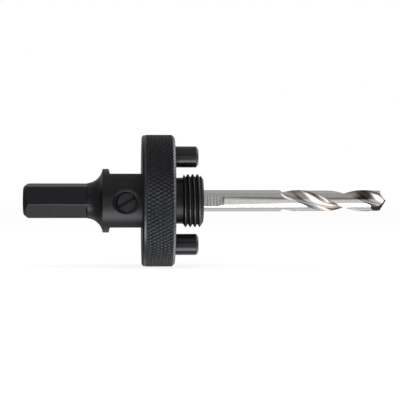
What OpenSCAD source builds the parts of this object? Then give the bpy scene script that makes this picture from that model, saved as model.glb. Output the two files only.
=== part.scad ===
// Hole saw arbor with a sliding drive collar and a pilot drill.
// The arbor's axis is the X axis: the shank points to -X and the drill to +X, and +Z is up.
// The origin is on that axis, in the plane of the shoulder that a saw seats against.

/* [Shank] */
// Hexagon across its flats, for a 3/8 inch chuck
shank_af = 9.525; // [7:0.025:12]
// Length of the hexagon, from its end face to the flare
shank_len = 19.16; // [12:0.1:40]
// Turn of the hexagon about the arbor's axis
shank_turn = 8.3; // [0:0.1:60]
// Depth of the end chamfer, measured inwards from the corners
shank_chamfer_depth = 1.4; // [0.5:0.05:2.5]
// Length of the end chamfer along the axis
shank_chamfer_len = 1.75; // [0.5:0.05:4]
// Length of the hollow flare between the hexagon and the body
flare_len = 4.4; // [3:0.1:7]
// Radius of the flare's hollow curve
flare_r = 4.92; // [4:0.1:12]
// Height of the flare's foot above the flats of the hexagon
flare_step = 0.53; // [0.3:0.01:0.8]
// Width of the narrow face between the flare and the rim
rim_land = 0.12; // [0.05:0.01:0.5]

/* [Body] */
// Length of the body, from the shoulder to the rim above the flare
body_len = 21.2; // [17:0.1:30]
// Depth of the flat that is milled on the top and on the bottom
flat_depth = 1.525; // [1:0.025:2.5]
// Length of the lug that the milling leaves at the rim
lug_len = 1.85; // [1:0.05:4]
// Lean of the lug's front face, measured along the axis
lug_lean = 0.5; // [0:0.05:1.5]
// Solid floor between the bottom of the pilot bore and the rim
bore_floor = 2.15; // [0.5:0.05:6]

/* [Threaded nose] */
// Major diameter of the 5/8 inch thread
thread_d = 15.875; // [13:0.025:19]
// Length of the threaded part, with its chamfer
thread_len = 6.1; // [4:0.1:12]
// Chamfer at the end of the nose
nose_chamfer = 1.5; // [0.5:0.05:2.5]
// Length of the relief between the shoulder and the thread
neck_len = 2.8; // [1.5:0.1:5]
// Depth of that relief below the crests of the thread
neck_depth = 1.04; // [0.8:0.02:1.8]
// Room between the thread and the flats of a collar that passes over it
thread_room = 0.0625; // [0.02:0.0025:0.4]

/* [Drive collar] */
// Width of the collar along the axis
collar_w = 10.4; // [8:0.1:16]
// Wall of the collar outside the drive pins
collar_wall = 3.425; // [1.5:0.025:6]
// How far the collar's front face stands past the shoulder at rest
collar_lead = 1; // [0.2:0.1:2]
// Chamfer of the collar's front edge
front_chamfer = 0.7; // [0.2:0.05:1.5]
// Chamfer of the collar's rear edge
rear_chamfer = 0.65; // [0.2:0.05:1.5]
// Sliding clearance between the collar and the body, on each side
slide_gap = 0.05; // [0.02:0.01:0.1]

/* [Drive pins] */
// Diameter of the free end of each pin
pin_d = 6.35; // [5:0.05:8]
// Length of the free end, past the collar's front face
pin_reach = 6.5; // [4:0.1:10]
// Wall between the collar's bore and each pin
pin_wall = 1.875; // [1:0.025:4]
// Step from the free end down to the pressed tail
pin_step = 0.4; // [0.2:0.05:1]
// Length of the pin's end chamfer
pin_chamfer_len = 0.65; // [0.2:0.05:1.5]
// Depth of the pin's end chamfer
pin_chamfer_depth = 0.95; // [0.2:0.05:1.5]
// Wall between the end of each tail and the friction ring's groove
tail_wall = 1.7; // [0.8:0.1:3]
// Gap round a pressed tail
press_gap = 0.01; // [0.005:0.005:0.02]

/* [Friction ring] */
// Thickness of the ring's square wire
ring_wire = 1.2; // [0.8:0.1:1.6]
// Centre of the ring in front of the collar's rear face
ring_inset = 1.5; // [1.2:0.1:2.5]
// Width of the split in the ring
ring_split = 3; // [1:0.5:6]
// Clearance of the ring in its groove, on each side
ring_gap = 0.1; // [0.05:0.05:0.3]
// Clearance between the ring and the body
ring_grip = 0.02; // [0.01:0.01:0.1]

/* [Set screw] */
// Diameter of the set screw
screw_d = 5.9; // [5:0.1:7]
// Clearance round the set screw
screw_gap = 0.05; // [0.02:0.01:0.1]
// Width of the countersink's bevel round the screw's hole
sink_w = 1.15; // [0.5:0.05:2]
// Depth of the screw's head below the countersink
screw_depth = 0.3; // [0.1:0.05:1]
// Width of the screwdriver slot
slot_w = 0.9; // [0.6:0.05:1.4]
// Depth of the screwdriver slot
slot_depth = 1.1; // [0.6:0.1:2]
// Turn of the slot from the arbor's axis
slot_turn = 30; // [0:1:180]
// Diameter of the screw's flat tip
screw_tip_d = 3; // [2:0.1:4]
// Gap between the screw's tip and the flat on the drill
tip_gap = 0.02; // [0.01:0.01:0.1]
// Turn of the screw, its hole and the drill's flat about the arbor's axis, down from the level
screw_turn = 3.2; // [0:0.1:10]

/* [Pilot drill] */
// Diameter of the drill
drill_d = 6.35; // [5:0.05:7.5]
// Length of the drill, over all
drill_len = 83; // [68:0.5:100]
// Clearance between the drill and its bore, all round
drill_gap = 0.025; // [0.01:0.005:0.1]
// Gap between the drill's rear end and the bottom of its bore
seat_gap = 0.05; // [0.02:0.01:0.3]
// Chamfer of the drill's rear end
drill_chamfer = 0.4; // [0.1:0.05:1]
// Depth of the flat that the set screw bears on
drill_flat_depth = 0.4; // [0.2:0.05:0.8]
// Length of that flat at full depth, from the drill's rear end
drill_flat_len = 31.6; // [20:0.1:40]
// Radius of the flat's curved run-out
drill_flat_runout = 12; // [5:0.5:30]

/* [Flutes and point] */
// Length of the flutes, from the tip to the end of their run-out
flute_len = 32; // [26:0.5:40]
// Length of that run-out
flute_runout = 6; // [4:0.25:12]
// Advance of the flutes in one full turn
flute_lead = 39.5; // [30:0.5:60]
// Turn of the flutes at the tip
flute_turn = 45; // [0:1:360]
// Thickness of the web between the two flutes
web = 1.1; // [0.8:0.05:2]
// Radius of the flute on the side of the cutting lip
lip_side_r = 5; // [3:0.1:8]
// Radius of the flute on the side of the heel
heel_side_r = 1.75; // [1.2:0.05:2.5]
// Width of the margin that guides the drill
margin_w = 0.55; // [0.3:0.05:1]
// Clearance of the land behind the margin
land_drop = 0.12; // [0.05:0.01:0.25]
// Angle of the point
point_angle = 118; // [90:1:140]
// Relief angle just behind the lips
lip_relief = 11; // [6:1:16]
// Relief angle of the heel
heel_relief = 29; // [22:1:36]
// Width of the relief just behind the lips
relief_w = 1.3; // [0.8:0.05:2]
// Lean of the lips from the narrowest direction of the web
lip_lean = 73; // [60:1:85]

/* [Hidden] */

// How far a cut runs past the surface that it opens
past = 1;
round_fn = 96;
black_steel = [0.13, 0.13, 0.14];
spring_steel = [0.35, 0.36, 0.38];
bright_steel = [0.74, 0.73, 0.7];

// Body, with two flats that are just wider apart than the thread
thread_r = thread_d / 2;
neck_r = thread_r - neck_depth;
flats_half = thread_r + thread_room;
body_r = flats_half + flat_depth;
nose_x = neck_len + thread_len;
lug_x = -(body_len - lug_len);

// Shank
shank_in_r = shank_af / 2;
shank_corner_r = shank_in_r / cos(30);
flare_foot_r = shank_in_r + flare_step;
flare_x = -(body_len + flare_len);
shank_end_x = flare_x - shank_len;

// The flare's curve runs through its foot and its top, and its centre lies outside them
flare_top_r = body_r - rim_land;
flare_half = norm([flare_len, flare_top_r - flare_foot_r]) / 2;
flare_out = sqrt(flare_r * flare_r - flare_half * flare_half);
flare_tilt = atan2(flare_top_r - flare_foot_r, flare_len);
flare_centre = [
    (flare_foot_r + flare_top_r) / 2 + flare_out * cos(flare_tilt),
    flare_x + flare_len / 2 - flare_out * sin(flare_tilt)];

// Collar, whose bore follows the body
bore_flats_half = flats_half + slide_gap;
bore_r = body_r + slide_gap;
pin_r = pin_d / 2;
pin_z = bore_flats_half + pin_wall + pin_r;
collar_r = pin_z + pin_r + collar_wall;
collar_rear_x = collar_lead - collar_w;

// Friction ring and its groove
ring_x = collar_rear_x + ring_inset;
ring_in_r = body_r + ring_grip;
ring_out_r = ring_in_r + ring_wire;
groove_w = ring_wire + 2 * ring_gap;
groove_r = ring_out_r + ring_gap;

// Drive pins
tail_r = pin_r - pin_step;
tail_len = collar_w - ring_inset - groove_w / 2 - tail_wall;

// Pilot drill and its bore
drill_r = drill_d / 2;
pilot_bore_r = drill_r + drill_gap;
bore_bottom_x = -(body_len - bore_floor);
drill_rear_x = bore_bottom_x + seat_gap;
tip_x = drill_rear_x + drill_len;
flute_start_x = tip_x - flute_len;

// Set screw, halfway between the collar at rest and the lugs
screw_x = (collar_rear_x + lug_x + lug_lean) / 2;
screw_r = screw_d / 2;
screw_hole_r = screw_r + screw_gap;
sink_r = screw_hole_r + sink_w;
screw_head_y = -(body_r - sink_w - screw_depth);
screw_tip_y = -(drill_r - drill_flat_depth + tip_gap);

// Flutes: rings of points along the axis, each ring with two like halves
web_r = web / 2;
land_r = drill_r - land_drop;
flute_depth = drill_r - web_r;
runout_wheel_r = (flute_runout * flute_runout + flute_depth * flute_depth) / (2 * flute_depth);
// The flutes start a hair deep, so that no ring closes up
first_lift = 0.98 * flute_depth;
lip_steps = 9;
heel_steps = 7;
land_steps = 7;
ring_pitch = 0.66;
// The fluted stretch starts inside the plain one and is a hair thinner there
flute_overlap = 0.5;
hair = 0.01;
tip_spare = 0.4;
ring_steps = ceil((flute_len + tip_spare) / ring_pitch);

// Puts a shape drawn in Y and Z, and drawn up from the ground, along the arbor's axis
module along_x() rotate([90, 0, 90]) children();

// A round solid along X, from pairs of radius and place along the axis
module turned(profile) along_x() rotate_extrude($fn = round_fn) polygon(profile);

module rod(r, from_x, to_x) along_x() translate([0, 0, from_x])
    cylinder(r = r, h = to_x - from_x, $fn = round_fn);

module arbor_body() {
    color(black_steel) difference() {
        union() {
            hex_shank();
            flare();
            milled_body();
            threaded_nose();
        }
        pilot_bore();
        screw_hole();
    }
}

// The hexagon, with its end turned to a chamfer
module hex_shank() {
    chamfer_slope = shank_chamfer_len / shank_chamfer_depth;
    intersection() {
        along_x() rotate(shank_turn) translate([0, 0, shank_end_x])
            cylinder(r = shank_corner_r, h = -body_len - shank_end_x, $fn = 6);
        turned([
            [0, shank_end_x],
            [shank_corner_r - shank_chamfer_depth, shank_end_x],
            [shank_corner_r + past, shank_end_x + shank_chamfer_len + past * chamfer_slope],
            [shank_corner_r + past, -body_len + past],
            [0, -body_len + past]]);
    }
}

// The hollow curve from the hexagon up to the rim of the body
module flare() {
    // The foot's cone runs on into the stock that the hollow curve takes away
    into = flare_step / 2;
    stock_r = body_r - rim_land / 2;
    along_x() rotate_extrude($fn = round_fn) difference() {
        polygon([
            [0, flare_x - flare_step],
            [shank_in_r, flare_x - flare_step],
            [flare_foot_r + into, flare_x + into],
            [stock_r, flare_x + into],
            [stock_r, -body_len + past / 2],
            [0, -body_len + past / 2]]);
        translate(flare_centre) circle(r = flare_r, $fn = round_fn);
    }
}

// The round body, milled flat on the top and on the bottom as far as the lugs
module milled_body() {
    difference() {
        rod(body_r, -body_len, 0);
        for (side = [0, 1]) mirror([0, 0, side]) mill_cut();
    }
}

module mill_cut() {
    lean = lug_lean / flat_depth;
    rotate([90, 0, 0]) linear_extrude(height = 2 * body_r + 2 * past, center = true) polygon([
        [lug_x + lug_lean, flats_half],
        [past, flats_half],
        [past, body_r + past],
        [lug_x - lean * past, body_r + past]]);
}

// The relief and the nose, as a plain round at the crests of its thread
module threaded_nose() {
    rod(neck_r, -past, neck_len + past);
    turned([
        [0, neck_len],
        [thread_r, neck_len],
        [thread_r, nose_x - nose_chamfer],
        [thread_r - nose_chamfer, nose_x],
        [0, nose_x]]);
}

// A drilled hole, with the cone that a drill leaves
module pilot_bore() {
    turned([
        [0, bore_bottom_x - pilot_bore_r / tan(point_angle / 2)],
        [pilot_bore_r, bore_bottom_x],
        [pilot_bore_r, nose_x + past],
        [0, nose_x + past]]);
}

// The cross hole for the set screw, from the near side into the pilot bore
module screw_hole() {
    rotate([screw_turn, 0, 0]) translate([screw_x, 0, 0]) rotate([90, 0, 0]) {
        cylinder(r = screw_hole_r, h = body_r + past, $fn = round_fn);
        translate([0, 0, body_r - sink_w])
            cylinder(r1 = screw_hole_r, r2 = sink_r + past, h = sink_w + past, $fn = round_fn);
    }
}

module set_screw() {
    length = screw_tip_y - screw_head_y;
    tip_cone = screw_r - screw_tip_d / 2;
    color(black_steel) rotate([screw_turn, 0, 0]) translate([screw_x, screw_tip_y, 0])
        rotate([90, 0, 0]) difference() {
            union() {
                cylinder(r1 = screw_tip_d / 2, r2 = screw_r, h = tip_cone, $fn = round_fn);
                translate([0, 0, tip_cone])
                    cylinder(r = screw_r, h = length - tip_cone, $fn = round_fn);
            }
            rotate(slot_turn) translate([-screw_r - past, -slot_w / 2, length - slot_depth])
                cube([2 * (screw_r + past), slot_w, slot_depth + past]);
        }
}

module drive_collar() {
    color(black_steel) difference() {
        turned([
            [0, collar_rear_x],
            [collar_r - rear_chamfer, collar_rear_x],
            [collar_r, collar_rear_x + rear_chamfer],
            [collar_r, collar_lead - front_chamfer],
            [collar_r - front_chamfer, collar_lead],
            [0, collar_lead]]);
        double_d_bore();
        rod(groove_r, ring_x - groove_w / 2, ring_x + groove_w / 2);
        for (side = [-1, 1]) translate([0, 0, side * pin_z])
            rod(tail_r + press_gap, collar_lead - tail_len - press_gap, collar_lead + past);
    }
}

// The bore that slides on the body and can't turn on it
module double_d_bore() {
    length = collar_w + 2 * past;
    intersection() {
        rod(bore_r, collar_rear_x - past, collar_lead + past);
        translate([collar_rear_x - past, -body_r - past, -bore_flats_half])
            cube([length, 2 * (body_r + past), 2 * bore_flats_half]);
    }
}

// A pin whose thinner tail is pressed into the collar as far as its step
module drive_pin(side) {
    end_x = collar_lead + pin_reach;
    color(black_steel) translate([0, 0, side * pin_z]) turned([
        [0, collar_lead - tail_len],
        [tail_r, collar_lead - tail_len],
        [tail_r, collar_lead],
        [pin_r, collar_lead],
        [pin_r, end_x - pin_chamfer_len],
        [pin_r - pin_chamfer_depth, end_x],
        [0, end_x]]);
}

module drive_pin_upper() drive_pin(1);

module drive_pin_lower() drive_pin(-1);

// A split ring of spring wire in the collar, which grips the round sides of the body
module friction_ring() {
    color(spring_steel) difference() {
        rod(ring_out_r, ring_x - ring_wire / 2, ring_x + ring_wire / 2);
        rod(ring_in_r, ring_x - ring_wire, ring_x + ring_wire);
        translate([ring_x - ring_wire, -ring_split / 2, -ring_out_r - past])
            cube([2 * ring_wire, ring_split, ring_out_r]);
    }
}

module pilot_drill() {
    color(bright_steel) union() {
        drill_shank();
        intersection() {
            fluted_rod();
            drill_point();
        }
    }
}

// The plain part of the drill, with the flat for the set screw on its near side
module drill_shank() {
    difference() {
        turned([
            [0, drill_rear_x],
            [drill_r - drill_chamfer, drill_rear_x],
            [drill_r, drill_rear_x + drill_chamfer],
            [drill_r, flute_start_x],
            [0, flute_start_x]]);
        drill_flat();
    }
}

module drill_flat() {
    flat_y = -drill_r + drill_flat_depth;
    flat_end_x = drill_rear_x + drill_flat_len;
    rotate([screw_turn, 0, 0]) linear_extrude(height = drill_d + 2 * past, center = true) union() {
        polygon([
            [drill_rear_x - past, flat_y],
            [flat_end_x, flat_y],
            [flat_end_x, -drill_r - past],
            [drill_rear_x - past, -drill_r - past]]);
        translate([flat_end_x, flat_y - drill_flat_runout])
            circle(r = drill_flat_runout, $fn = round_fn);
    }
}

// Angle from the flute's bottom to the edge of a flute arc on a round of radius r
function edge_angle(arc_r, lift, r) =
    let (c = web_r + lift + arc_r) acos((r * r + c * c - arc_r * arc_r) / (2 * r * c));

// That same edge, as an angle about the centre of the flute arc
function arc_angle(arc_r, lift, r) =
    let (c = web_r + lift + arc_r, a = edge_angle(arc_r, lift, r)) atan2(r * sin(a), c - r * cos(a));

// A point of a flute arc whose lowest point is at web_r + lift
function arc_point(arc_r, lift, a) = [web_r + lift + arc_r - arc_r * cos(a), arc_r * sin(a)];

// One half of a section: the lip's side of the flute, the heel's side, the land and the margin
function half_section(lift) =
    let (
        fade = 1 - lift / flute_depth,
        back_r = drill_r - land_drop * fade,
        lip = arc_angle(lip_side_r, lift, drill_r),
        heel = arc_angle(heel_side_r, lift, back_r),
        land_from = edge_angle(heel_side_r, lift, back_r),
        margin_to = 180 - edge_angle(lip_side_r, lift, drill_r),
        margin_from = margin_to - margin_w / drill_r * 180 / PI)
    concat(
        [for (i = [0:lip_steps]) arc_point(lip_side_r, lift, -lip * (1 - i / lip_steps))],
        [for (i = [1:heel_steps]) arc_point(heel_side_r, lift, heel * i / heel_steps)],
        [for (i = [1:land_steps])
            let (a = land_from + (margin_from - 1 - land_from) * i / land_steps)
            back_r * [cos(a), sin(a)]],
        [drill_r * [cos(margin_from), sin(margin_from)]]);

function spin(p, a) = [p[0] * cos(a) - p[1] * sin(a), p[0] * sin(a) + p[1] * cos(a)];

// How far the flutes have lifted out of the drill at a distance past their start
function lift_at(d) = d >= flute_runout ? 0 :
    min(first_lift, runout_wheel_r - sqrt(pow(runout_wheel_r, 2) - pow(flute_runout - max(d, 0), 2)));

// A ring of points at a distance past the start of the flutes
function section_ring(d) =
    let (
        half = half_section(lift_at(d)),
        turn = flute_turn + 360 * (d - flute_len) / flute_lead,
        shrink = 1 - hair / drill_r)
    [for (side = [0, 180], p = half) let (q = shrink * spin(p, turn + side))
        [flute_start_x + d, q[0], q[1]]];

// The stretch with two helical flutes, swept from ring to ring
module fluted_rod() {
    places = concat([-flute_overlap],
        [for (i = [0:ring_steps]) (flute_len + tip_spare) * i / ring_steps]);
    rings = [for (d = places) section_ring(d)];
    n = len(rings[0]);
    last = len(rings) - 1;
    polyhedron(
        points = [for (ring = rings, p = ring) p],
        faces = concat(
            [[for (j = [0:n - 1]) j]],
            [for (i = [0:last - 1], j = [0:n - 1]) [i * n + j, (i + 1) * n + j, i * n + (j + 1) % n]],
            [for (i = [0:last - 1], j = [0:n - 1])
                [(i + 1) * n + j, (i + 1) * n + (j + 1) % n, i * n + (j + 1) % n]],
            [[for (j = [n - 1:-1:0]) last * n + j]]));
}

// Everything below the four ground faces of the point, two behind each lip
module drill_point() {
    slope = 1 / tan(point_angle / 2);
    lip_rise = tan(lip_relief);
    heel_rise = tan(heel_relief);
    // Where the two faces of one lip meet, behind the axis
    kink = relief_w - web_r * sin(lip_lean);
    intersection_for (side = [0, 180]) rotate([flute_turn - lip_lean + side, 0, 0]) intersection() {
        below_plane(tip_x, slope, -lip_rise);
        below_plane(tip_x + kink * (heel_rise - lip_rise), slope, -heel_rise);
    }
}

// The solid below a plane that falls by fall_y for each step along Y and by fall_z along Z
module below_plane(height, fall_y, fall_z) {
    size = 2.5 * flute_len;
    yaw = atan(fall_y);
    pitch = atan(fall_z * cos(yaw));
    translate([height, 0, 0]) rotate([0, -pitch, yaw]) translate([-size, -size / 2, -size / 2])
        cube(size);
}

arbor_body();
set_screw();
pilot_drill();
drive_collar();
drive_pin_upper();
drive_pin_lower();
friction_ring();
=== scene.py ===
import math

import bmesh
import bpy
from mathutils import Matrix, Vector


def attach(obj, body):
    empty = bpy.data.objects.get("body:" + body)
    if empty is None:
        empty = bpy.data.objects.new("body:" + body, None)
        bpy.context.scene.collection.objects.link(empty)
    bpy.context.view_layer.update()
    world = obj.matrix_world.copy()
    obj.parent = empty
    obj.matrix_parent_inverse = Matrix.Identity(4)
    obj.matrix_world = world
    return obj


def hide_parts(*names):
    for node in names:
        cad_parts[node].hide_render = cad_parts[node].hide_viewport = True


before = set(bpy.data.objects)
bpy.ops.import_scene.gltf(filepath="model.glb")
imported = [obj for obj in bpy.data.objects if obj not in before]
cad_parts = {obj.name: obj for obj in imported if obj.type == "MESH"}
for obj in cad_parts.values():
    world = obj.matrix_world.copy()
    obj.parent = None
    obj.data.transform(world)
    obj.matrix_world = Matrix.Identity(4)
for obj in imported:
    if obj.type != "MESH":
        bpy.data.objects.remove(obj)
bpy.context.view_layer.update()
scene = bpy.context.scene
scene.view_settings.view_transform = "Standard"
mm = 0.001
print("frame loaded:", ", ".join(sorted(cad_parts)))


# Camera: square across the arbor, and a little towards the shank's side
cameraSizes = {
    "place": (-17.7, -509.0, 0.2),
    "aim": (8.0, 0.0, 0.2),
    "lens": 153.0,
    "sensor": 36.0,
}


def makeCamera(sizes):
    data = bpy.data.cameras.new("productCamera")
    data.lens = sizes["lens"]
    data.sensor_width = sizes["sensor"]
    data.clip_start = 0.01
    data.clip_end = 30
    camera = bpy.data.objects.new("productCamera", data)
    place = Vector(sizes["place"]) * mm
    aim = Vector(sizes["aim"]) * mm
    camera.location = place
    camera.rotation_euler = (aim - place).to_track_quat("-Z", "Y").to_euler()
    scene.collection.objects.link(camera)
    scene.camera = camera


makeCamera(cameraSizes)
print("camera set")


# Small helpers for node trees
def feed(tree, value, socket):
    if isinstance(value, bpy.types.NodeSocket):
        tree.links.new(value, socket)
    else:
        socket.default_value = value


def addNode(tree, kind, settings=None, **inputs):
    node = tree.nodes.new(kind)
    for name, value in (settings or {}).items():
        setattr(node, name, value)
    for name, value in inputs.items():
        feed(tree, value, node.inputs[name.replace("_", " ")])
    return node


def maths(tree, operation, *values):
    node = tree.nodes.new("ShaderNodeMath")
    node.operation = operation
    for value, socket in zip(values, node.inputs):
        feed(tree, value, socket)
    return node.outputs[0]


def ramp(tree, value, stops):
    node = tree.nodes.new("ShaderNodeValToRGB")
    feed(tree, value, node.inputs[0])
    marks = node.color_ramp.elements
    while len(marks) < len(stops):
        marks.new(1.0)
    for mark, (place, colour) in zip(marks, stops):
        mark.position = place
        mark.color = (*colour, 1) if isinstance(colour, tuple) else (colour, colour, colour, 1)
    return node.outputs[0]


# Studio: a white ground, a soft lamp above, and cards that the metal mirrors
studioSizes = {
    "floorSize": 8000.0,
    "floorZ": -19.7,
    "shadowShare": 0.16,  # how much of the object's shadow the ground shows
    "roomLight": 0.85,
    "shankWall": 0.2,
    "drillWall": 2.3,
    "drillAhead": 0.4,
    "lampPlace": (-200.0, -500.0, 1200.0),
    "lampWidth": 1200.0,
    "lampPower": 8.0,
}

# Brightness round the arbor, by the angle up from the side that the camera stands on
studioCards = [
    (-180, 0.24),
    (-172, 0.2),
    (-158, 0.18),
    (-148, 0.55),
    (-130, 0.9),
    (-104, 0.85),
    (-95, 0.62),
    (-86, 0.58),
    (-80, 0.68),
    (-76, 1.5),
    (-71, 5.2),
    (-50, 6.0),
    (-43, 4.7),
    (-38, 2.8),
    (-32, 1.3),
    (-21, 0.85),
    (-10, 0.88),
    (1, 0.92),
    (10, 0.6),
    (18, 0.22),
    (25, 0.16),
    (32, 0.34),
    (45, 0.48),
    (84, 0.45),
    (97, 0.54),
    (112, 0.58),
    (126, 0.48),
    (150, 0.42),
    (165, 0.38),
    (180, 0.3),
]


def makeStudio(sizes, cards):
    world = bpy.data.worlds.new("studioRoom")
    world.use_nodes = True
    tree = world.node_tree
    tree.nodes.clear()
    place = addNode(tree, "ShaderNodeTexCoord").outputs["Generated"]
    split = addNode(tree, "ShaderNodeSeparateXYZ", Vector=place)
    front = maths(tree, "MULTIPLY", split.outputs["Y"], -1.0)
    turn = maths(tree, "ARCTAN2", split.outputs["Z"], front)
    share = maths(tree, "MULTIPLY_ADD", turn, 0.5 / math.pi, 0.5)
    mirrored = ramp(tree, share, [((angle + 180) / 360, level) for angle, level in cards])
    for wall, edge in (("shankWall", -1.0), ("drillWall", 1.0)):
        # The ends of the room, which only what faces along the arbor mirrors
        near = addNode(tree, "ShaderNodeMapRange", {"interpolation_type": "SMOOTHSTEP"})
        feed(tree, maths(tree, "MULTIPLY", split.outputs["X"], edge), near.inputs["Value"])
        near.inputs["From Min"].default_value = 0.3
        near.inputs["From Max"].default_value = 0.8
        ends = addNode(tree, "ShaderNodeMix", {"data_type": "RGBA"})
        feed(tree, near.outputs["Result"], ends.inputs["Factor"])
        feed(tree, mirrored, ends.inputs[6])
        ends.inputs[7].default_value = (sizes[wall], sizes[wall], sizes[wall], 1)
        mirrored = ends.outputs[2]
    ahead = addNode(tree, "ShaderNodeMapRange", {"interpolation_type": "SMOOTHSTEP"})
    feed(tree, split.outputs["X"], ahead.inputs["Value"])
    ahead.inputs["From Min"].default_value = 0.84
    ahead.inputs["From Max"].default_value = 0.93
    middle = addNode(tree, "ShaderNodeMix", {"data_type": "RGBA"})
    feed(tree, ahead.outputs["Result"], middle.inputs["Factor"])
    feed(tree, mirrored, middle.inputs[6])
    middle.inputs[7].default_value = (sizes["drillAhead"], sizes["drillAhead"], sizes["drillAhead"], 1)
    mirrored = middle.outputs[2]
    path = addNode(tree, "ShaderNodeLightPath")
    seen = addNode(tree, "ShaderNodeMix", {"data_type": "RGBA"})
    feed(tree, path.outputs["Is Camera Ray"], seen.inputs["Factor"])
    level = sizes["roomLight"]
    seen.inputs[6].default_value = (level, level, level, 1)
    seen.inputs[7].default_value = (1, 1, 1, 1)
    shown = addNode(tree, "ShaderNodeMix", {"data_type": "RGBA"})
    feed(tree, path.outputs["Is Glossy Ray"], shown.inputs["Factor"])
    feed(tree, seen.outputs[2], shown.inputs[6])
    feed(tree, mirrored, shown.inputs[7])
    sky = addNode(tree, "ShaderNodeBackground", Strength=1.0)
    feed(tree, shown.outputs[2], sky.inputs["Color"])
    addNode(tree, "ShaderNodeOutputWorld", Surface=sky.outputs[0])
    scene.world = world

    half = sizes["floorSize"] / 2 * mm
    z = sizes["floorZ"] * mm
    mesh = bpy.data.meshes.new("studioFloor")
    mesh.from_pydata(
        [(-half, -half, z), (half, -half, z), (half, half, z), (-half, half, z)], [], [(0, 1, 2, 3)])
    ground = bpy.data.objects.new("studioFloor", mesh)
    scene.collection.objects.link(ground)
    ground.visible_glossy = False
    mesh.materials.append(floorPaint(sizes["shadowShare"]))

    data = bpy.data.lights.new("softLamp", "AREA")
    data.energy = sizes["lampPower"]
    data.size = sizes["lampWidth"] * mm
    lamp = bpy.data.objects.new("softLamp", data)
    lamp.location = Vector(sizes["lampPlace"]) * mm
    lamp.rotation_euler = (-lamp.location).to_track_quat("-Z", "Y").to_euler()
    lamp.visible_glossy = False
    scene.collection.objects.link(lamp)


def floorPaint(shadowShare):
    paint = bpy.data.materials.new("whiteGround")
    paint.use_nodes = True
    tree = paint.node_tree
    tree.nodes.clear()
    path = addNode(tree, "ShaderNodeLightPath")
    matt = addNode(tree, "ShaderNodeBsdfDiffuse", Color=(0.95, 0.95, 0.95, 1))
    glow = addNode(tree, "ShaderNodeEmission", Color=(1, 1, 1, 1), Strength=1.0)
    share = maths(tree, "MULTIPLY", path.outputs["Is Camera Ray"], 1 - shadowShare)
    mixed = addNode(tree, "ShaderNodeMixShader")
    feed(tree, share, mixed.inputs[0])
    feed(tree, matt.outputs[0], mixed.inputs[1])
    feed(tree, glow.outputs[0], mixed.inputs[2])
    addNode(tree, "ShaderNodeOutputMaterial", Surface=mixed.outputs[0])
    return paint


makeStudio(studioSizes, studioCards)
print("studio lit")


# Materials
def newSteel(name):
    steel = bpy.data.materials.new(name)
    steel.use_nodes = True
    tree = steel.node_tree
    shader = tree.nodes["Principled BSDF"]
    place = addNode(tree, "ShaderNodeTexCoord").outputs["Object"]
    return steel, tree, shader, place


def speckle(tree, place, size, detail=3.0, rough=0.55):
    # Noise whose spots are about as many millimetres wide as size says
    node = addNode(tree, "ShaderNodeTexNoise", Vector=place, Detail=detail, Roughness=rough)
    node.inputs["Scale"].default_value = 1 / (size * mm)
    return node.outputs["Fac"]


def stretched(tree, place, scale):
    node = addNode(tree, "ShaderNodeMapping", Vector=place)
    node.inputs["Scale"].default_value = scale
    return node.outputs[0]


def edgeLine(tree, width):
    # 0 on open faces, and up to 1 within a hair of a sharp edge
    soft = addNode(tree, "ShaderNodeBevel", {"samples": 6}, Radius=width * mm)
    flat = addNode(tree, "ShaderNodeNewGeometry")
    together = addNode(tree, "ShaderNodeVectorMath", {"operation": "DOT_PRODUCT"})
    feed(tree, soft.outputs[0], together.inputs[0])
    feed(tree, flat.outputs["Normal"], together.inputs[1])
    return soft.outputs[0], maths(tree, "SUBTRACT", 1.0, together.outputs["Value"])


def rimWear(tree, place, rims):
    # Bands round the collar that rub on things, each from one x to another
    split = addNode(tree, "ShaderNodeSeparateXYZ", Vector=place)
    x = split.outputs["X"]
    across = maths(tree, "POWER", split.outputs["Y"], 2.0)
    up = maths(tree, "POWER", split.outputs["Z"], 2.0)
    radius = maths(tree, "SQRT", maths(tree, "ADD", across, up))
    total = 0.0
    for start, end, lean, least, amount in rims:
        inside = maths(tree, "MULTIPLY", maths(tree, "GREATER_THAN", x, start * mm), maths(tree, "LESS_THAN", x, end * mm))
        open_ = maths(tree, "GREATER_THAN", maths(tree, "MULTIPLY_ADD", x, lean, radius), least * mm)
        inside = maths(tree, "MULTIPLY", inside, open_)
        total = maths(tree, "ADD", total, maths(tree, "MULTIPLY", inside, amount))
    spots = ramp(tree, speckle(tree, place, 0.7), [(0.3, 0.5), (0.6, 1.0)])
    return maths(tree, "MULTIPLY", total, spots)


def threadCrests(tree, place):
    # 1 along the tops of the thread, which rub on the saws
    split = addNode(tree, "ShaderNodeSeparateXYZ", Vector=place)
    across = maths(tree, "POWER", split.outputs["Y"], 2.0)
    up = maths(tree, "POWER", split.outputs["Z"], 2.0)
    radius = maths(tree, "SQRT", maths(tree, "ADD", across, up))
    top = maths(tree, "GREATER_THAN", radius, 7.83 * mm)
    return maths(tree, "MULTIPLY", top, maths(tree, "GREATER_THAN", split.outputs["X"], 2.9 * mm))


def sinkZone(tree, place):
    # 1 in the screw's countersink
    away = addNode(tree, "ShaderNodeVectorMath", {"operation": "DISTANCE"})
    feed(tree, place, away.inputs[0])
    away.inputs[1].default_value = (-14.125 * mm, -8.7 * mm, -0.5 * mm)
    return maths(tree, "LESS_THAN", away.outputs["Value"], 4.05 * mm)


def cutZones(tree, place):
    # 1 on the thread and in the countersink, which a tool left rougher
    split = addNode(tree, "ShaderNodeSeparateXYZ", Vector=place)
    thread = maths(tree, "GREATER_THAN", split.outputs["X"], 2.9 * mm)
    thread = maths(tree, "SUBTRACT", thread, threadCrests(tree, place))
    return maths(tree, "MAXIMUM", thread, sinkZone(tree, place))


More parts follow.
